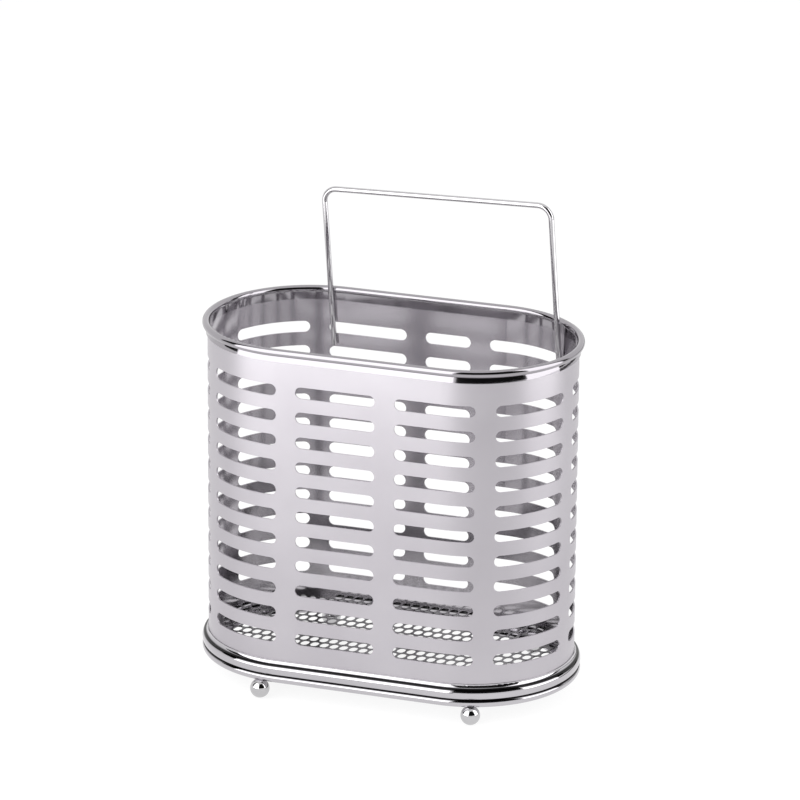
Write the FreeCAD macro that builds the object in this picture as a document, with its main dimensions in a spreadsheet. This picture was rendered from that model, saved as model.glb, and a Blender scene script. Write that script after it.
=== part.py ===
# Chopstick holder: an upright basket of slotted sheet steel with a rolled rim, standing on a beaded
# base hoop with ball feet, with a drain mesh for its floor and a wire hanger welded inside its back.
# Millimetres, +Z up, front towards -Y, long side along X. The origin is on the table, under the
# middle of the basket. Parts run round a plan of two straight runs and two half-round ends.

import FreeCAD, Part
import math
import os

import Sketcher

SIZES = {
    # Wall: a strip of sheet, bent to the plan, with a pressed band under the rolled bead at its top
    "wall_length": 165.0,
    "wall_depth": 90.0,
    "wall_sheet": 0.6,
    "basket_height": 160.9,
    "rim_radius": 1.65,
    "rim_outset": 0.65,
    "rim_crease_angle": 80.0,
    "rim_crease_step": 0.12,
    "rim_band_height": 2.6,
    "rim_band_top_reach": 0.1,
    "rim_band_reach": 0.75,
    "rim_band_radius": 12.0,
    "rim_band_step": 0.35,
    # Slots: rows of long round-ended slots that run round the whole wall
    "slot_length": 36.0,
    "slot_height": 5.2,
    "slot_web": 8.78,
    "slot_shift": -10.4,
    "row_land": 6.117,
    "top_land": 16.3,
    "bottom_land": 6.0,
    # Base hoop: a channel, open to the inside, with a hollow band over two swelling ones on its face
    "lower_band": 3.2,
    "middle_band": 4.6,
    "upper_band": 2.0,
    "band_reach": 2.0,
    "band_swell": 0.8,
    "upper_hollow": 0.5,
    "lip_edge": 0.2,
    "ring_sheet": 0.8,
    "lip_overlap": 2.2,
    "ledge_width": 3.0,
    "flange_width": 6.0,
    # Drain mesh: a sheet with staggered six-sided holes, laid on the hoop's ledge
    "mesh_sheet": 0.8,
    "mesh_hole_width": 6.9,
    "mesh_hole_length": 9.0,
    "mesh_point_length": 2.4,
    "mesh_web": 2.1,
    "mesh_row_web": 1.5,
    "mesh_border": 2.4,
    # Ball feet, ground flat where they meet the hoop
    "foot_diameter": 8.6,
    "foot_flat": 0.4,
    "foot_spacing": 96.1,
    "foot_shift": 3.85,
    "foot_outset": 1.5,
    # Hanger: a wire loop whose feet stand on the half-round ends, inside the wall
    "wire_diameter": 2.5,
    "hanger_height": 72.5,
    "hanger_drop": 26.35,
    "hanger_corner_radius": 6.0,
    "hanger_left_angle": 6.0,
    "hanger_right_angle": 40.4,
    "hanger_tilt_angle": 3.3,
    "hanger_rim_gap": 0.5,
    # Clearance between curved pieces that seat on each other, and the overrun of cutting shapes
    "fit_gap": 0.1,
    "overrun": 2.0,
}

doc = FreeCAD.newDocument("chopstick_holder")
sheet = doc.addObject("Spreadsheet::Sheet", "sizes")
for row, (name, size) in enumerate(SIZES.items(), start=1):
    sheet.set(f"A{row}", name)
    sheet.set(f"B{row}", str(size))
    sheet.setAlias(f"B{row}", name)
doc.recompute()


def number(expression):
    """The present value of an expression in the sheet's sizes."""
    return float(sheet.evalExpression(expression))


# Places that several pieces share, written in the sheet's sizes
END_RADIUS = "sizes.wall_depth / 2"
INNER_RADIUS = "(sizes.wall_depth / 2 - sizes.wall_sheet)"
HALF_RUN = "(sizes.wall_length - sizes.wall_depth) / 2"
RING_BOTTOM = "(sizes.foot_diameter - sizes.foot_flat)"
LOW_GROOVE = f"({RING_BOTTOM} + sizes.lower_band)"
HIGH_GROOVE = f"({LOW_GROOVE} + sizes.middle_band)"
RING_TOP = f"({HIGH_GROOVE} + sizes.upper_band)"
LEDGE = f"({RING_TOP} - sizes.lip_overlap)"
RIM_CENTRE = "(sizes.basket_height - sizes.rim_radius)"
TOP_ROW = "(sizes.basket_height - sizes.top_land - sizes.slot_height / 2)"
LOWEST_ROW = f"({RING_TOP} + sizes.bottom_land + sizes.slot_height / 2)"
ROW_PITCH = "(sizes.slot_height + sizes.row_land)"
SLOT_ROWS = math.floor(number(f"({TOP_ROW} - {LOWEST_ROW}) / {ROW_PITCH}")) + 1


def new_sketch(body, name, role, offset):
    """A sketch on one of the body's own origin planes, moved along the plane's normal."""
    sketch = body.newObject("Sketcher::SketchObject", name)
    plane = next(feature for feature in body.Origin.OriginFeatures if feature.Role == role)
    sketch.AttachmentSupport = [(plane, "")]
    sketch.MapMode = "FlatFace"
    sketch.setExpression("AttachmentOffset.Base.z", offset)
    return sketch


def bind(sketch, kind, *places_and_expression):
    """A dimension in a sketch that follows an expression."""
    *places, expression = places_and_expression
    index = sketch.addConstraint(Sketcher.Constraint(kind, *places, number(expression)))
    sketch.setExpression(f"Constraints[{index}]", expression)


def arc_between(start, finish, radius, turn):
    """An arc of under half a circle from start to finish, turning left (1) or right (-1)."""
    chord = finish - start
    to_centre = FreeCAD.Vector(-chord.y, chord.x, 0) * turn
    to_centre.normalize()
    centre = (start + finish) / 2 + to_centre * math.sqrt(radius**2 - (chord.Length / 2) ** 2)
    first = math.atan2(start.y - centre.y, start.x - centre.x)
    last = math.atan2(finish.y - centre.y, finish.x - centre.x)
    circle = Part.Circle(centre, FreeCAD.Vector(0, 0, 1), radius)
    if turn > 0:
        return Part.ArcOfCircle(circle, first, last)
    return Part.ArcOfCircle(circle, last, first)


def draw_outline(sketch, corners):
    """A closed outline through corners that are held by their distances from the sketch's origin.

    A corner is (across, up), with a line to the next corner, or (across, up, radius, turn), with an
    arc to it.
    """
    origin = -1
    start_point, end_point = 1, 2
    points = [FreeCAD.Vector(number(corner[0]), number(corner[1]), 0) for corner in corners]
    edges = []
    for index, corner in enumerate(corners):
        start = points[index]
        finish = points[(index + 1) % len(points)]
        if len(corner) == 2:
            edges.append((sketch.addGeometry(Part.LineSegment(start, finish)), start_point, end_point))
            continue
        radius, turn = corner[2:]
        edge = sketch.addGeometry(arc_between(start, finish, number(radius), turn))
        edges.append((edge, start_point, end_point) if turn > 0 else (edge, end_point, start_point))
    for index, (edge, _, last) in enumerate(edges):
        next_edge, next_first, _ = edges[(index + 1) % len(edges)]
        sketch.addConstraint(Sketcher.Constraint("Coincident", edge, last, next_edge, next_first))
    for (edge, first, _), corner in zip(edges, corners):
        bind(sketch, "DistanceX", origin, start_point, edge, first, corner[0])
        bind(sketch, "DistanceY", origin, start_point, edge, first, corner[1])
        if len(corner) > 2:
            bind(sketch, "Radius", edge, corner[2])


def add_feature(body, kind, name):
    """A feature of a body, which leaves faces apart that were drawn apart."""
    feature = body.newObject(kind, name)
    feature.Refine = False
    return feature


def make_hoop(name, corners):
    """A body of one section all round the plan: a half-round end and a run, each mirrored."""
    body = doc.addObject("PartDesign::Body", name)
    planes = {feature.Role: feature for feature in body.Origin.OriginFeatures}

    end_section = new_sketch(body, f"{name}_end_section", "YZ_Plane", HALF_RUN)
    draw_outline(end_section, corners)
    right_end = add_feature(body, "PartDesign::Revolution", f"{name}_right_end")
    right_end.Profile = end_section
    right_end.ReferenceAxis = (end_section, ["V_Axis"])
    right_end.Angle = 180
    right_end.Reversed = True

    run_section = new_sketch(body, f"{name}_run_section", "YZ_Plane", f"-({HALF_RUN})")
    draw_outline(run_section, corners)
    back_run = add_feature(body, "PartDesign::Pad", f"{name}_back_run")
    back_run.Profile = run_section
    back_run.setExpression("Length", f"2 * {HALF_RUN}")

    for original, mirror, suffix in (
        (right_end, planes["YZ_Plane"], "left_end"),
        (back_run, planes["XZ_Plane"], "front_run"),
    ):
        mirrored = add_feature(body, "PartDesign::Mirrored", f"{name}_{suffix}")
        mirrored.Originals = [original]
        mirrored.MirrorPlane = (mirror, [""])
        body.Tip = mirrored
        doc.recompute()
    return body


def cut(label, base, tool):
    """The base with the tool taken away, as the finished sub-part of that label."""
    result = doc.addObject("Part::Cut", label)
    result.Base = base
    result.Tool = tool
    result.Refine = False
    return result


def turned_half(shape, halves):
    """A shape turned about the middle of the plan by a number of half turns."""
    turned = shape.copy()
    turned.rotate(FreeCAD.Vector(0, 0, 0), FreeCAD.Vector(0, 0, 1), 180 * halves)
    return turned


# The wall strip: straight up, a pressed band that leans in, a crease and the rolled bead. A corner on each
# land between two rows gives every row of slots a band of faces of its own, which keeps its facets true.
def wall_corners():
    crease = f"({RIM_CENTRE} - sizes.rim_radius * sin(sizes.rim_crease_angle))"
    crease_reach = "(sizes.rim_outset + sizes.rim_radius * cos(sizes.rim_crease_angle))"
    band_top = f"({crease} - sizes.rim_crease_step)"
    band_bottom = f"({band_top} - sizes.rim_band_height)"
    bead_inside = "sqrt(sizes.rim_radius^2 - (sizes.wall_sheet + sizes.rim_outset)^2)"
    lands = [f"{TOP_ROW} - ({row} + 1 / 2) * {ROW_PITCH}" for row in range(SLOT_ROWS - 1)]
    return [
        (END_RADIUS, LEDGE),
        *[(END_RADIUS, land) for land in reversed(lands)],
        (END_RADIUS, f"{band_bottom} - sizes.rim_band_step"),
        (f"{END_RADIUS} + sizes.rim_band_reach", band_bottom, "sizes.rim_band_radius", 1),
        (f"{END_RADIUS} + sizes.rim_band_top_reach", band_top),
        (f"{END_RADIUS} + {crease_reach}", crease, "sizes.rim_radius", 1),
        (f"{END_RADIUS} + sizes.rim_outset", "sizes.basket_height", "sizes.rim_radius", 1),
        (INNER_RADIUS, f"{RIM_CENTRE} - {bead_inside}"),
        *[(INNER_RADIUS, land) for land in lands],
        (INNER_RADIUS, LEDGE),
    ]


# Slot cutters. A place along the wall is a distance round its outer face from the left end of the
# front run, and each half of the plan is a straight run and then a half-round end.
def slot_cutters():
    radius = number(END_RADIUS)
    run = number(f"2 * {HALF_RUN}")
    half_way = run + math.pi * radius
    over = number("sizes.overrun")
    through = number("sizes.wall_sheet") + 2 * over
    inner = radius + over - through
    height = number("sizes.slot_height")
    right_centre = FreeCAD.Vector(run / 2, 0, 0)
    up = FreeCAD.Vector(0, 0, 1)

    def slot_end(place):
        """The round end of a slot, drilled square to the wall."""
        halves = math.floor(place / half_way)
        along = place - halves * half_way
        angle = max(along - run, 0) / radius
        outward = FreeCAD.Vector(math.sin(angle), -math.cos(angle), 0)
        centre = FreeCAD.Vector(min(along, run) - run / 2, 0, 0)
        drill = Part.makeCylinder(height / 2, through, centre + outward * inner, outward)
        return turned_half(drill, halves)

    def slot_middle(first, last):
        """The straight-edged middle of a slot, in as many pieces as runs and ends that it crosses."""
        pieces = []
        for halves in range(math.floor(first / half_way), math.floor(last / half_way) + 1):
            start = max(first - halves * half_way, 0)
            finish = min(last - halves * half_way, half_way)
            if start < run:
                corner = FreeCAD.Vector(start - run / 2, -radius - over, -height / 2)
                box = Part.makeBox(min(finish, run) - start, through, height, corner)
                pieces.append(turned_half(box, halves))
            if finish > run:
                from_angle = math.degrees(max(start - run, 0) / radius)
                to_angle = math.degrees((finish - run) / radius)
                corner = right_centre + FreeCAD.Vector(0, -radius - over, -height / 2)
                along_run, inward = FreeCAD.Vector(1, 0, 0), FreeCAD.Vector(0, 1, 0)
                face = Part.makePlane(through, height, corner, along_run, inward)
                face.rotate(right_centre, up, from_angle)
                pieces.append(turned_half(face.revolve(right_centre, up, to_angle - from_angle), halves))
        return pieces

    def slot(first, last):
        """A whole slot, at table height."""
        pieces = slot_middle(first + height / 2, last - height / 2)
        pieces += [slot_end(first + height / 2), slot_end(last - height / 2)]
        return pieces[0].multiFuse(pieces[1:])

    # Full slots stand at one pitch, and what is left of the way round takes one short closing slot
    length = number("sizes.slot_length")
    web = number("sizes.slot_web")
    columns = math.floor(2 * half_way / (length + web))
    closing = 2 * half_way - columns * (length + web) - web
    first_column = run / 2 + number("sizes.slot_shift") - (columns // 2) * (length + web) - length / 2
    row_of_slots = []
    for column in range(columns):
        begin = first_column + column * (length + web)
        row_of_slots.append(slot(begin, begin + length))
    if closing > 2 * height:
        begin = first_column + columns * (length + web)
        row_of_slots.append(slot(begin, begin + closing))

    cutters = []
    for row in range(SLOT_ROWS):
        lift = FreeCAD.Vector(0, 0, number(f"{TOP_ROW} - {row} * {ROW_PITCH}"))
        cutters += [single.translated(lift) for single in row_of_slots]
    feature = doc.addObject("Part::Feature", "wall_slots")
    feature.Shape = Part.makeCompound(cutters)
    return feature


def make_wall():
    return cut("basket_wall", make_hoop("wall_strip", wall_corners()), slot_cutters())


# The base hoop: banded face, a lip outside the wall's foot, a ledge under it and a flange for the feet
def make_ring():
    band_face = f"{END_RADIUS} + sizes.band_reach"
    lip_face = f"{END_RADIUS} + sizes.fit_gap"
    ledge_edge = f"{INNER_RADIUS} - sizes.ledge_width"
    flange_edge = f"{END_RADIUS} - sizes.flange_width"
    channel = f"{band_face} - sizes.ring_sheet"
    upper_chord = "sqrt((sizes.band_reach - sizes.fit_gap - sizes.lip_edge)^2 + sizes.upper_band^2)"

    def swell_radius(chord, swell):
        return f"(({chord} / 2)^2 + {swell}^2) / (2 * {swell})"

    corners = [
        (band_face, RING_BOTTOM, swell_radius("sizes.lower_band", "sizes.band_swell"), 1),
        (band_face, LOW_GROOVE, swell_radius("sizes.middle_band", "sizes.band_swell"), 1),
        (band_face, HIGH_GROOVE, swell_radius(upper_chord, "sizes.upper_hollow"), -1),
        (f"{lip_face} + sizes.lip_edge", RING_TOP),
        (lip_face, RING_TOP),
        (lip_face, LEDGE),
        (ledge_edge, LEDGE),
        (ledge_edge, f"{LEDGE} - sizes.ring_sheet"),
        (channel, f"{LEDGE} - sizes.ring_sheet"),
        (channel, f"{RING_BOTTOM} + sizes.ring_sheet"),
        (flange_edge, f"{RING_BOTTOM} + sizes.ring_sheet"),
        (flange_edge, RING_BOTTOM),
    ]
    return make_hoop("base_ring", corners)


# The drain mesh: a plate that fits inside the wall's foot, with rows of six-sided holes
def make_mesh():
    plate_radius = f"({INNER_RADIUS} - sizes.fit_gap)"
    middle = doc.addObject("Part::Box", "mesh_middle")
    middle.setExpression("Length", f"2 * {HALF_RUN}")
    middle.setExpression("Width", f"2 * {plate_radius}")
    middle.setExpression("Height", "sizes.mesh_sheet")
    middle.setExpression("Placement.Base.x", f"-({HALF_RUN})")
    middle.setExpression("Placement.Base.y", f"-{plate_radius}")
    ends = []
    for side, place in (("left", f"-({HALF_RUN})"), ("right", HALF_RUN)):
        end = doc.addObject("Part::Cylinder", f"mesh_{side}_end")
        end.setExpression("Radius", plate_radius)
        end.setExpression("Height", "sizes.mesh_sheet")
        end.setExpression("Placement.Base.x", place)
        ends.append(end)
    for piece in [middle] + ends:
        piece.setExpression("Placement.Base.z", LEDGE)
    plate = doc.addObject("Part::MultiFuse", "mesh_plate")
    plate.Shapes = [middle] + ends
    plate.Refine = True

    holes = doc.addObject("Part::Feature", "mesh_holes")
    holes.Shape = Part.makeCompound(mesh_hole_cutters())
    return cut("drain_mesh", plate, holes)


def mesh_hole_cutters():
    half_width = number("sizes.mesh_hole_width / 2")
    half_length = number("sizes.mesh_hole_length / 2")
    shoulder = half_length - number("sizes.mesh_point_length")
    pitch = number("sizes.mesh_hole_width + sizes.mesh_web")
    row_pitch = number("sizes.mesh_hole_length + sizes.mesh_row_web")
    over = number("sizes.overrun")
    half_run = number(HALF_RUN)
    border = number(f"{INNER_RADIUS} - sizes.ledge_width - sizes.mesh_border")
    bottom = number(LEDGE) - over
    depth = number("sizes.mesh_sheet") + 2 * over
    outline = [
        (half_width, shoulder),
        (0, half_length),
        (-half_width, shoulder),
        (-half_width, -shoulder),
        (0, -half_length),
        (half_width, -shoulder),
    ]

    def inside(x, y):
        """Whether a point of the sheet keeps clear of the border along its edge."""
        return math.hypot(max(abs(x) - half_run, 0), y) <= border

    cutters = []
    rows = math.floor(border / row_pitch)
    columns = math.ceil((half_run + border) / pitch)
    for row in range(-rows, rows + 1):
        stagger = pitch / 2 if row % 2 else 0
        for column in range(-columns, columns + 1):
            x, y = column * pitch + stagger, row * row_pitch
            if all(inside(x + dx, y + dy) for dx, dy in outline):
                points = [FreeCAD.Vector(x + dx, y + dy, bottom) for dx, dy in outline]
                face = Part.Face(Part.makePolygon(points + points[:1]))
                cutters.append(face.extrude(FreeCAD.Vector(0, 0, depth)))
    return cutters


# The ball feet, cut flat on top and seated on the hoop's underside
def make_feet():
    feet = []
    track = number(f"{END_RADIUS} + sizes.foot_outset")
    half_run = number(HALF_RUN)
    for depth_side, facing in (("front", -1), ("back", 1)):
        for end, direction in (("left", -1), ("right", 1)):
            foot = doc.addObject("Part::Sphere", f"foot_{depth_side}_{end}")
            foot.setExpression("Radius", "sizes.foot_diameter / 2")
            foot.setExpression("Angle2", "asin(1 - 2 * sizes.foot_flat / sizes.foot_diameter)")
            x = number(f"sizes.foot_shift + {direction} * sizes.foot_spacing / 2")
            y = facing * math.sqrt(track**2 - max(abs(x) - half_run, 0) ** 2)
            foot.Placement.Base = FreeCAD.Vector(x, y, number("sizes.foot_diameter / 2"))
            feet.append(foot)
    return feet


# The hanger: a rectangular loop of wire, drawn upright from its left foot and then set in place
def make_hanger():
    reach = f"({INNER_RADIUS} - sizes.wire_diameter / 2 - sizes.fit_gap)"
    foot_level = number("sizes.basket_height - sizes.hanger_drop")

    def foot(side, direction):
        """Where a leg ends, on the half-round end of that side."""
        angle = f"sizes.hanger_{side}_angle"
        across = direction * number(f"{HALF_RUN} + {reach} * sin({angle})")
        return FreeCAD.Vector(across, number(f"{reach} * cos({angle})"), foot_level)

    left_foot, right_foot = foot("left", -1), foot("right", 1)
    across = f"(2 * {HALF_RUN} + {reach} * (sin(sizes.hanger_left_angle) + sin(sizes.hanger_right_angle)))"
    inward = f"({reach} * (cos(sizes.hanger_left_angle) - cos(sizes.hanger_right_angle)))"
    width = f"sqrt({across}^2 + {inward}^2) / cos(sizes.hanger_tilt_angle)"

    body = doc.addObject("PartDesign::Body", "hanger_wire")
    path = new_sketch(body, "hanger_path", "XZ_Plane", "0")
    wide, tall, bend = number(width), number("sizes.hanger_height"), number("sizes.hanger_corner_radius")
    turn_points = [
        FreeCAD.Vector(0, 0, 0),
        FreeCAD.Vector(0, tall - bend, 0),
        FreeCAD.Vector(bend, tall, 0),
        FreeCAD.Vector(wide - bend, tall, 0),
        FreeCAD.Vector(wide, tall - bend, 0),
        FreeCAD.Vector(wide, 0, 0),
    ]
    left_leg, bar, right_leg = (
        path.addGeometry(Part.LineSegment(*turn_points[index : index + 2])) for index in (0, 2, 4)
    )
    left_bend, right_bend = (
        path.addGeometry(arc_between(*turn_points[index : index + 2], bend, -1)) for index in (1, 3)
    )
    for constraint in (
        ("Coincident", left_leg, 1, -1, 1),
        ("Tangent", left_leg, 2, left_bend, 2),
        ("Tangent", left_bend, 1, bar, 1),
        ("Tangent", bar, 2, right_bend, 2),
        ("Tangent", right_bend, 1, right_leg, 1),
        ("Vertical", left_leg),
        ("Horizontal", bar),
        ("Vertical", right_leg),
        ("PointOnObject", right_leg, 2, -1),
        ("Equal", left_bend, right_bend),
    ):
        path.addConstraint(Sketcher.Constraint(*constraint))
    bind(path, "Radius", left_bend, "sizes.hanger_corner_radius")
    bind(path, "DistanceY", -1, 1, bar, 1, "sizes.hanger_height")
    bind(path, "DistanceX", -1, 1, right_leg, 2, width)

    section = new_sketch(body, "hanger_section", "XY_Plane", "0")
    radius = number("sizes.wire_diameter / 2")
    ring = section.addGeometry(Part.Circle(FreeCAD.Vector(0, 0, 0), FreeCAD.Vector(0, 0, 1), radius))
    section.addConstraint(Sketcher.Constraint("Coincident", ring, 3, -1, 1))
    bind(section, "Diameter", ring, "sizes.wire_diameter")

    loop = body.newObject("PartDesign::AdditivePipe", "hanger_loop")
    loop.Profile = section
    loop.Spine = (path, [])
    body.Tip = loop

    # The legs lean in just enough to pass the rolled bead, and the loop hangs a little askew
    bead_inside = number("sizes.rim_radius - sizes.rim_outset - sizes.wall_sheet + sizes.hanger_rim_gap")
    lean = math.degrees(math.atan2(bead_inside, number(RIM_CENTRE) - foot_level))
    yaw = math.degrees(math.atan2(right_foot.y - left_foot.y, right_foot.x - left_foot.x))
    askew = FreeCAD.Rotation(FreeCAD.Vector(0, 1, 0), -number("sizes.hanger_tilt_angle"))
    leaning = FreeCAD.Rotation(FreeCAD.Vector(1, 0, 0), lean)
    turned = FreeCAD.Rotation(FreeCAD.Vector(0, 0, 1), yaw)
    body.Placement = FreeCAD.Placement(left_foot, turned * leaning * askew)
    return body


pieces = [make_wall(), make_ring(), make_mesh(), make_hanger()] + make_feet()
doc.recompute()

for item in doc.Objects:
    if "Invalid" in item.State or "Error" in item.State:
        raise RuntimeError(f"{item.Label} failed: {item.State}")
for piece in pieces:
    if piece.Shape.isNull() or not piece.Shape.isValid() or len(piece.Shape.Solids) != 1:
        raise RuntimeError(f"{piece.Label} is not one valid solid")

os.makedirs("parts", exist_ok=True)
for piece in pieces:
    piece.Shape.exportStep(f"parts/{piece.Label}.step")
    print(piece.Label, round(piece.Shape.Volume, 1), piece.Shape.BoundBox)
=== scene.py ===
import math

import bmesh
import bpy
from mathutils import Matrix, Vector


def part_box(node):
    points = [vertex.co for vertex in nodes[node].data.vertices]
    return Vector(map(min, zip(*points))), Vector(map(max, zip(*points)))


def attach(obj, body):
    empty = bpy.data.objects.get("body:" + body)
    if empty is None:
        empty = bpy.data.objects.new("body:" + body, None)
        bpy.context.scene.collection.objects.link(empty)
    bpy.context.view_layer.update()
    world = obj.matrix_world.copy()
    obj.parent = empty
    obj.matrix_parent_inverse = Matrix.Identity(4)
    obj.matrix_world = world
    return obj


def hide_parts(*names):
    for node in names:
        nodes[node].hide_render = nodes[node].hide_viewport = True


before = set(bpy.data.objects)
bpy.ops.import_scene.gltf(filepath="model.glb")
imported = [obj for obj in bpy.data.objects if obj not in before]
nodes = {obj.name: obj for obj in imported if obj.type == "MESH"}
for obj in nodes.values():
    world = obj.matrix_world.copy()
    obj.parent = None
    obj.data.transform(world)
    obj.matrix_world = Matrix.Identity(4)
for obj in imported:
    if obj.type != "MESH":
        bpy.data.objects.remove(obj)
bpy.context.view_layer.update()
scene = bpy.context.scene
scene.view_settings.view_transform = "Standard"

QUARTER_TURN = 90

# Camera: where the photograph was taken from, in metres and degrees
IMAGE_SIDE_PIXELS = 800
FOCAL_LENGTH_PIXELS = 5618.8
SENSOR_WIDTH_MM = 36
CAMERA_AZIMUTH = 19.015
CAMERA_ELEVATION = 19.117
CAMERA_ROLL = 0.434
CAMERA_DISTANCE = 2.4356
CAMERA_TARGET = Vector((0.003549, 0, 0.127876))

# Stage: floor, soft boxes and the cards round them, which are placed by azimuth, distance and height
FLOOR_HALF_WIDTH = 40
FLOOR_COLOUR = (0.2, 0.2, 0.2, 1)
FLOOR_GLOW = 0.86
FILL_LEVEL = 0.7
WHITE = (1, 1, 1, 1)
SOFT_BOX_DISTANCE = 0.5
SOFT_BOX_LOW = 0.03
SOFT_BOX_HIGH = 0.8
SOFT_BOXES = {
    "front_soft_box": {"azimuths": (-64, 1), "level": 1.9},
    "right_soft_box": {"azimuths": (73, 114), "level": 1.7},
}
CARD_STEPS = 24
DARK_LEVEL = 0.012
DARK_CARD_ENDS = ((0.75, 0.16), (0.75, 1.5))
HORIZON_LEVEL = 0.12
HORIZON_CARD_ENDS = ((1.2, 0), (1.2, 0.1))
CARDS = {
    "back_horizon_card": {"azimuths": (73, 221), "ends": HORIZON_CARD_ENDS, "level": HORIZON_LEVEL},
    "front_horizon_card": {"azimuths": (-64, 2), "ends": HORIZON_CARD_ENDS, "level": HORIZON_LEVEL},
    "camera_side_card": {"azimuths": (2, 73), "ends": DARK_CARD_ENDS, "level": DARK_LEVEL},
    "right_gap_card": {"azimuths": (115, 126), "ends": DARK_CARD_ENDS, "level": DARK_LEVEL},
    "left_gap_card": {"azimuths": (-84, -64), "ends": DARK_CARD_ENDS, "level": DARK_LEVEL},
}

# Steels: colours and roughness run between two values, and the grain is counted in lines per metre
STEELS = {
    "satin_steel_sheet": {
        "colours": ((0.49, 0.467, 0.5), (0.53, 0.507, 0.54)), "roughness": (0.33, 0.39),
        "grain": (5200, 5200, 160), "grain_depth": 0.000001,
    },
    "polished_steel_hoop": {
        "colours": ((0.49, 0.475, 0.5), (0.53, 0.515, 0.54)), "roughness": (0.04, 0.08),
        "grain": (260, 260, 5200), "grain_depth": 0.000001,
    },
    "drawn_steel_wire": {
        "colours": ((0.52, 0.51, 0.525), (0.56, 0.55, 0.565)), "roughness": (0.05, 0.10),
        "grain": (900, 900, 900), "grain_depth": 0.000001,
    },
    "mirror_steel_ball": {
        "colours": ((0.5, 0.495, 0.505), (0.54, 0.535, 0.545)), "roughness": (0.02, 0.05),
        "grain": (1200, 1200, 1200), "grain_depth": 0.0000005,
    },
    "punched_steel_sheet": {
        "colours": ((0.14, 0.137, 0.143), (0.2, 0.197, 0.203)), "roughness": (0.2, 0.32),
        "grain": (2600, 2600, 2600), "grain_depth": 0.000006,
    },
}

# Clouds in the tone and smudges in the gloss, in cells per metre
CLOUD_SCALE = 22
CLOUD_DETAIL = 4
CLOUD_SHARES = (0.35, 0.65)
SMUDGE_SCALE = 70
SMUDGE_DETAIL = 5
SMUDGE_SHARES = (0.3, 0.7)
GRAIN_DETAIL = 2

# Rim: the polished band starts this far below the wall's top
RIM_POLISH_DEPTH = 0.0064
RIM_POLISH_BLEND = 0.0006
RIM_POLISH_ROUGHNESS = 0.08
RIM_POLISH_TONE_SHARE = 0.72

# Inside: the wall's inner face has a brighter finish than its outer one
INNER_ROUGHNESS = 0.17
INNER_DEPTH = 0.02

# Hoop: painted shade darkens its grooves, which lie at these heights above its underside
HOOP_GROOVES = (0.0032, 0.0078)
GROOVE_SHADE_CORE = 0.0003
GROOVE_SHADE_REACH = 0.0007
GROOVE_SHADE_SHARE = 0.02

# Drain floor: a sheet with staggered six-sided holes
SHEET_PITCH = 0.0045
SHEET_ROW_PITCH = 0.00575
SHEET_POINT_RISE = 0.0015
SHEET_STRAND = 0.0008
SHEET_THICKNESS = 0.0005
SHEET_BORDER = 0.0012
SHEET_CORNER_SHARE = 0.28
WELD_DISTANCE = 0.00001


def direction(azimuth, elevation):
    """The unit vector from the object towards a place given in degrees."""
    turn, rise = math.radians(azimuth), math.radians(elevation)
    return Vector((math.sin(turn) * math.cos(rise), -math.cos(turn) * math.cos(rise), math.sin(rise)))


def make_camera():
    back = direction(CAMERA_AZIMUTH, CAMERA_ELEVATION)
    right = direction(CAMERA_AZIMUTH + QUARTER_TURN, 0)
    up = back.cross(right)
    roll = math.radians(CAMERA_ROLL)
    across = right * math.cos(roll) + up * math.sin(roll)
    along = up * math.cos(roll) - right * math.sin(roll)
    place = CAMERA_TARGET + back * CAMERA_DISTANCE
    data = bpy.data.cameras.new("camera")
    data.sensor_width = SENSOR_WIDTH_MM
    data.lens = FOCAL_LENGTH_PIXELS * SENSOR_WIDTH_MM / IMAGE_SIDE_PIXELS
    data.clip_end = 2 * FLOOR_HALF_WIDTH
    camera = bpy.data.objects.new("camera", data)
    camera.matrix_world = Matrix((across, along, back)).transposed().to_4x4()
    camera.matrix_world.translation = place
    scene.collection.objects.link(camera)
    scene.camera = camera


def mesh_object(name, vertices, faces, material):
    mesh = bpy.data.meshes.new(name)
    mesh.from_pydata(vertices, [], faces)
    mesh.materials.append(material)
    piece = bpy.data.objects.new(name, mesh)
    scene.collection.objects.link(piece)
    return piece


# Shader helpers: a value is a number or another node's output
def feed(tree, value, socket):
    if isinstance(value, bpy.types.NodeSocket):
        tree.links.new(value, socket)
    else:
        socket.default_value = value


def calculated(tree, operation, *values):
    node = tree.nodes.new("ShaderNodeMath")
    node.operation = operation
    for value, socket in zip(values, node.inputs):
        feed(tree, value, socket)
    return node.outputs[0]


def ranged(tree, value, start, end, low, high):
    """low where the value is at start or before, high where it is at end or beyond."""
    node = tree.nodes.new("ShaderNodeMapRange")
    settings = {"Value": value, "From Min": start, "From Max": end, "To Min": low, "To Max": high}
    for name, setting in settings.items():
        feed(tree, setting, node.inputs[name])
    return node.outputs["Result"]


def blended(tree, start, end, share):
    """start where the share is 0, end where it is 1."""
    rise = calculated(tree, "SUBTRACT", end, start)
    return calculated(tree, "MULTIPLY_ADD", rise, share, start)


def darkened(tree, colour, share):
    node = tree.nodes.new("ShaderNodeVectorMath")
    node.operation = "SCALE"
    feed(tree, colour, node.inputs[0])
    feed(tree, share, node.inputs["Scale"])
    return node.outputs["Vector"]


def noise(tree, scale, detail, place):
    node = tree.nodes.new("ShaderNodeTexNoise")
    for name, setting in {"Scale": scale, "Detail": detail, "Vector": place}.items():
        feed(tree, setting, node.inputs[name])
    return node.outputs["Fac"]


def seen_share(tree):
    """1 for rays that show the background: to the camera, in a gloss and through glass."""
    path = tree.nodes.new("ShaderNodeLightPath")
    mirrored = calculated(tree, "MAXIMUM", path.outputs["Is Camera Ray"], path.outputs["Is Glossy Ray"])
    return calculated(tree, "MAXIMUM", mirrored, path.outputs["Is Transmission Ray"])


def bare_material(name):
    """A material with nothing in it but its output socket, which is returned with it."""
    material = bpy.data.materials.new(name)
    material.use_nodes = True
    tree = material.node_tree
    tree.nodes.clear()
    return material, tree, tree.nodes.new("ShaderNodeOutputMaterial").inputs["Surface"]


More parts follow.
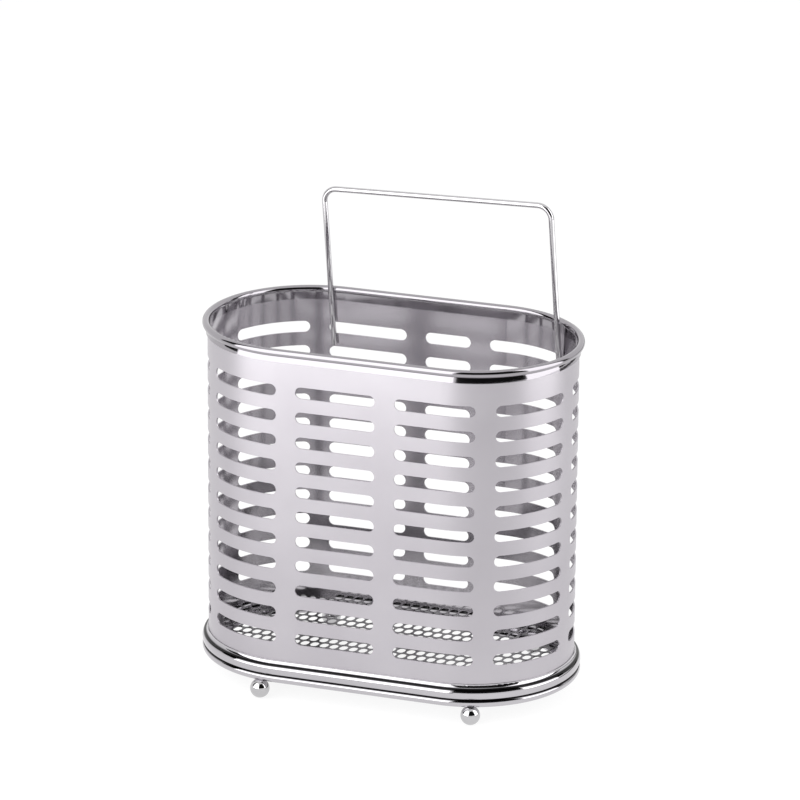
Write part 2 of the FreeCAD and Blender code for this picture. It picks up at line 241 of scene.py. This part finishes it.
# Light and stage
def make_world():
    world = bpy.data.worlds.new("studio")
    world.use_nodes = True
    scene.world = world
    tree = world.node_tree
    background = tree.nodes["Background"]
    background.inputs["Color"].default_value = WHITE
    feed(tree, ranged(tree, seen_share(tree), 0, 1, FILL_LEVEL, 1), background.inputs["Strength"])


def make_floor():
    material, tree, surface = bare_material("floor_white")
    paint = tree.nodes.new("ShaderNodeBsdfDiffuse")
    paint.inputs["Color"].default_value = FLOOR_COLOUR
    glow = tree.nodes.new("ShaderNodeEmission")
    feed(tree, calculated(tree, "MULTIPLY", seen_share(tree), FLOOR_GLOW), glow.inputs["Strength"])
    both = tree.nodes.new("ShaderNodeAddShader")
    feed(tree, paint.outputs[0], both.inputs[0])
    feed(tree, glow.outputs[0], both.inputs[1])
    feed(tree, both.outputs[0], surface)
    half = FLOOR_HALF_WIDTH
    corners = [(-half, -half, 0), (half, -half, 0), (half, half, 0), (-half, half, 0)]
    mesh_object("floor", corners, [(0, 1, 2, 3)], material)


def make_soft_box(name, azimuths, level):
    """An upright soft lamp that faces the object between two azimuths."""
    half_angle = math.radians(azimuths[1] - azimuths[0]) / 2
    data = bpy.data.lights.new(name, "AREA")
    data.shape = "RECTANGLE"
    data.size = 2 * SOFT_BOX_DISTANCE * math.sin(half_angle)
    data.size_y = SOFT_BOX_HIGH - SOFT_BOX_LOW
    data.energy = level * math.pi * data.size * data.size_y
    lamp = bpy.data.objects.new(name, data)
    outward = direction(sum(azimuths) / 2, 0)
    middle = Vector((0, 0, (SOFT_BOX_LOW + SOFT_BOX_HIGH) / 2))
    lamp.location = middle + outward * SOFT_BOX_DISTANCE * math.cos(half_angle)
    lamp.rotation_euler = outward.to_track_quat("Z", "Y").to_euler()
    lamp.visible_camera = False
    scene.collection.objects.link(lamp)


def make_card(name, azimuths, ends, level):
    """A card that only shows in reflections, bent round the object between two azimuths.

    Each of its two edges is given by its distance from the object's middle and its height.
    """
    material, tree, surface = bare_material(name)
    glow = tree.nodes.new("ShaderNodeEmission")
    glow.inputs["Strength"].default_value = level
    feed(tree, glow.outputs[0], surface)

    vertices, faces = [], []
    for step in range(CARD_STEPS + 1):
        outward = direction(azimuths[0] + (azimuths[1] - azimuths[0]) * step / CARD_STEPS, 0)
        vertices += [outward * distance + Vector((0, 0, height)) for distance, height in ends]
    for first in range(0, 2 * CARD_STEPS, 2):
        faces.append((first, first + 2, first + 3, first + 1))
    card = mesh_object(name, vertices, faces, material)
    card.visible_camera = False
    card.visible_diffuse = False
    card.visible_shadow = False


def make_stage():
    make_world()
    make_floor()
    for name, settings in SOFT_BOXES.items():
        make_soft_box(name, **settings)
    for name, settings in CARDS.items():
        make_card(name, **settings)


# Steel
def inner_share(tree, place_parts, normal, half_run):
    """1 on faces that look towards the upright plane through the middles of the half-round ends."""
    along, across = place_parts.outputs["X"], place_parts.outputs["Y"]
    nearest = calculated(tree, "MAXIMUM", calculated(tree, "MINIMUM", along, half_run), -half_run)
    outward = tree.nodes.new("ShaderNodeCombineXYZ")
    feed(tree, calculated(tree, "SUBTRACT", along, nearest), outward.inputs["X"])
    feed(tree, across, outward.inputs["Y"])
    facing = tree.nodes.new("ShaderNodeVectorMath")
    facing.operation = "DOT_PRODUCT"
    feed(tree, normal, facing.inputs[0])
    feed(tree, outward.outputs["Vector"], facing.inputs[1])
    return ranged(tree, facing.outputs["Value"], -INNER_DEPTH, 0, 1, 0)


def steel(name, colours, roughness, grain, grain_depth, polish_level=None, half_run=None, grooves=()):
    """Bare steel: cloudy tone, smudges in the gloss and a fine drawn grain.

    polish_level, where given, is the height above which the metal is polished, half_run half the straight
    part of a wall whose inner face is brighter, and grooves the heights of grooves whose colour is
    darkened as painted shade.
    """
    material = bpy.data.materials.new(name)
    material.use_nodes = True
    tree = material.node_tree
    shader = tree.nodes["Principled BSDF"]
    shader.inputs["Metallic"].default_value = 1
    coordinates = tree.nodes.new("ShaderNodeTexCoord")
    place = coordinates.outputs["Object"]
    place_parts = tree.nodes.new("ShaderNodeSeparateXYZ")
    feed(tree, place, place_parts.inputs["Vector"])
    height = place_parts.outputs["Z"]

    tone = tree.nodes.new("ShaderNodeValToRGB")
    for element, share, colour in zip(tone.color_ramp.elements, CLOUD_SHARES, colours):
        element.position = share
        element.color = (*colour, 1)
    feed(tree, noise(tree, CLOUD_SCALE, CLOUD_DETAIL, place), tone.inputs["Fac"])
    colour = tone.outputs["Color"]
    # Painted shade: the tone is darkened almost to black in a narrow band round each groove
    for level in grooves:
        away = calculated(tree, "ABSOLUTE", calculated(tree, "SUBTRACT", height, level))
        colour = darkened(tree, colour, ranged(tree, away, GROOVE_SHADE_CORE, GROOVE_SHADE_REACH, GROOVE_SHADE_SHARE, 1))

    rough = ranged(tree, noise(tree, SMUDGE_SCALE, SMUDGE_DETAIL, place), *SMUDGE_SHARES, *roughness)

    stretch = tree.nodes.new("ShaderNodeMapping")
    stretch.inputs["Scale"].default_value = grain
    feed(tree, place, stretch.inputs["Vector"])
    bump = tree.nodes.new("ShaderNodeBump")
    bump.inputs["Distance"].default_value = grain_depth
    feed(tree, noise(tree, 1, GRAIN_DETAIL, stretch.outputs["Vector"]), bump.inputs["Height"])

    if half_run is not None:
        inner = inner_share(tree, place_parts, coordinates.outputs["Normal"], half_run)
        outer = calculated(tree, "SUBTRACT", 1, inner)
        rough = blended(tree, INNER_ROUGHNESS, rough, outer)

    if polish_level is not None:
        satin = ranged(tree, height, polish_level, polish_level + RIM_POLISH_BLEND, 1, 0)
        colour = darkened(tree, colour, ranged(tree, satin, 0, 1, RIM_POLISH_TONE_SHARE, 1))
        rough = blended(tree, RIM_POLISH_ROUGHNESS, rough, satin)
        feed(tree, satin, bump.inputs["Strength"])

    feed(tree, colour, shader.inputs["Base Color"])
    feed(tree, rough, shader.inputs["Roughness"])
    feed(tree, bump.outputs["Normal"], shader.inputs["Normal"])
    return material


def dress(node, material):
    nodes[node].data.materials[0] = material


def make_steels():
    """Put the steels on the pieces, and return the one for the drain floor."""
    wall_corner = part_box("basket_wall")[1]
    wall_polish_level = wall_corner.z - RIM_POLISH_DEPTH
    wall_half_run = wall_corner.x - wall_corner.y
    hoop_grooves = [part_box("base_ring")[0].z + rise for rise in HOOP_GROOVES]
    extras = {
        "satin_steel_sheet": {"polish_level": wall_polish_level, "half_run": wall_half_run},
        "polished_steel_hoop": {"grooves": hoop_grooves},
    }
    steels = {name: steel(name, **settings, **extras.get(name, {})) for name, settings in STEELS.items()}
    dress("basket_wall", steels["satin_steel_sheet"])
    dress("base_ring", steels["polished_steel_hoop"])
    dress("hanger_wire", steels["drawn_steel_wire"])
    for node in nodes:
        if node.startswith("foot_"):
            dress(node, steels["mirror_steel_ball"])
    return steels["punched_steel_sheet"]


# Drain floor
def make_drain_floor(material):
    """The punched sheet at the real hole spacing, on the place of the plainer CAD sheet."""
    low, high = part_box("drain_mesh")
    plan_radius = high.y
    half_run = high.x - plan_radius
    half_pitch = SHEET_PITCH / 2
    slope = SHEET_POINT_RISE / half_pitch

    def six(inset):
        """The corners of one cell, with its edges moved inwards."""
        half_width = half_pitch - inset
        tip = (SHEET_ROW_PITCH + SHEET_POINT_RISE) / 2 - inset * math.hypot(1, slope)
        shoulder = tip - slope * half_width
        return [
            Vector((half_width, -shoulder)),
            Vector((half_width, shoulder)),
            Vector((0, tip)),
            Vector((-half_width, shoulder)),
            Vector((-half_width, -shoulder)),
            Vector((0, -tip)),
        ]

    cell = six(0)
    corners = six(SHEET_STRAND / 2)
    hole = []
    for index, corner in enumerate(corners):
        before, after = corners[index - 1], corners[(index + 1) % len(corners)]
        hole.append(corner.lerp(before, SHEET_CORNER_SHARE))
        hole.append(corner.lerp(after, SHEET_CORNER_SHARE))

    def spine_distance(point):
        return math.hypot(max(abs(point.x) - half_run, 0), point.y)

    def held(point):
        """The point, or the nearest place on the sheet's edge where it lies outside."""
        spine = Vector((min(max(point.x, -half_run), half_run), 0))
        offset = point - spine
        return point if offset.length <= plan_radius else spine + offset.normalized() * plan_radius

    vertices, faces = [], []

    def add_points(points):
        first = len(vertices)
        vertices.extend((point.x, point.y, low.z) for point in points)
        return list(range(first, len(vertices)))

    rows = math.ceil(plan_radius / SHEET_ROW_PITCH) + 1
    columns = math.ceil((half_run + plan_radius) / SHEET_PITCH) + 1
    for row in range(-rows, rows + 1):
        stagger = half_pitch if row % 2 else 0
        for column in range(-columns, columns + 1):
            centre = Vector((column * SHEET_PITCH + stagger, row * SHEET_ROW_PITCH))
            outer = [centre + corner for corner in cell]
            if all(spine_distance(point) >= plan_radius for point in outer):
                continue
            ring = add_points([held(point) for point in outer])
            inner = [centre + corner for corner in hole]
            if any(spine_distance(point) > plan_radius - SHEET_BORDER for point in inner):
                faces.append(ring)
                continue
            edge = add_points(inner)
            for index in range(len(ring)):
                after = (index + 1) % len(ring)
                faces.append((ring[index], edge[2 * index + 1], edge[2 * index]))
                faces.append((ring[index], ring[after], edge[2 * after], edge[2 * index + 1]))

    piece = mesh_object("drain_floor", vertices, faces, material)
    shape = bmesh.new()
    shape.from_mesh(piece.data)
    bmesh.ops.remove_doubles(shape, verts=shape.verts, dist=WELD_DISTANCE)
    bmesh.ops.dissolve_degenerate(shape, edges=shape.edges, dist=WELD_DISTANCE)
    raised = bmesh.ops.extrude_face_region(shape, geom=shape.faces[:])["geom"]
    raised_points = [item for item in raised if isinstance(item, bmesh.types.BMVert)]
    bmesh.ops.translate(shape, verts=raised_points, vec=(0, 0, SHEET_THICKNESS))
    bmesh.ops.recalc_face_normals(shape, faces=shape.faces)
    shape.to_mesh(piece.data)
    shape.free()
    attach(piece, "root")
    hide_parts("drain_mesh")


make_camera()
make_stage()
make_drain_floor(make_steels())
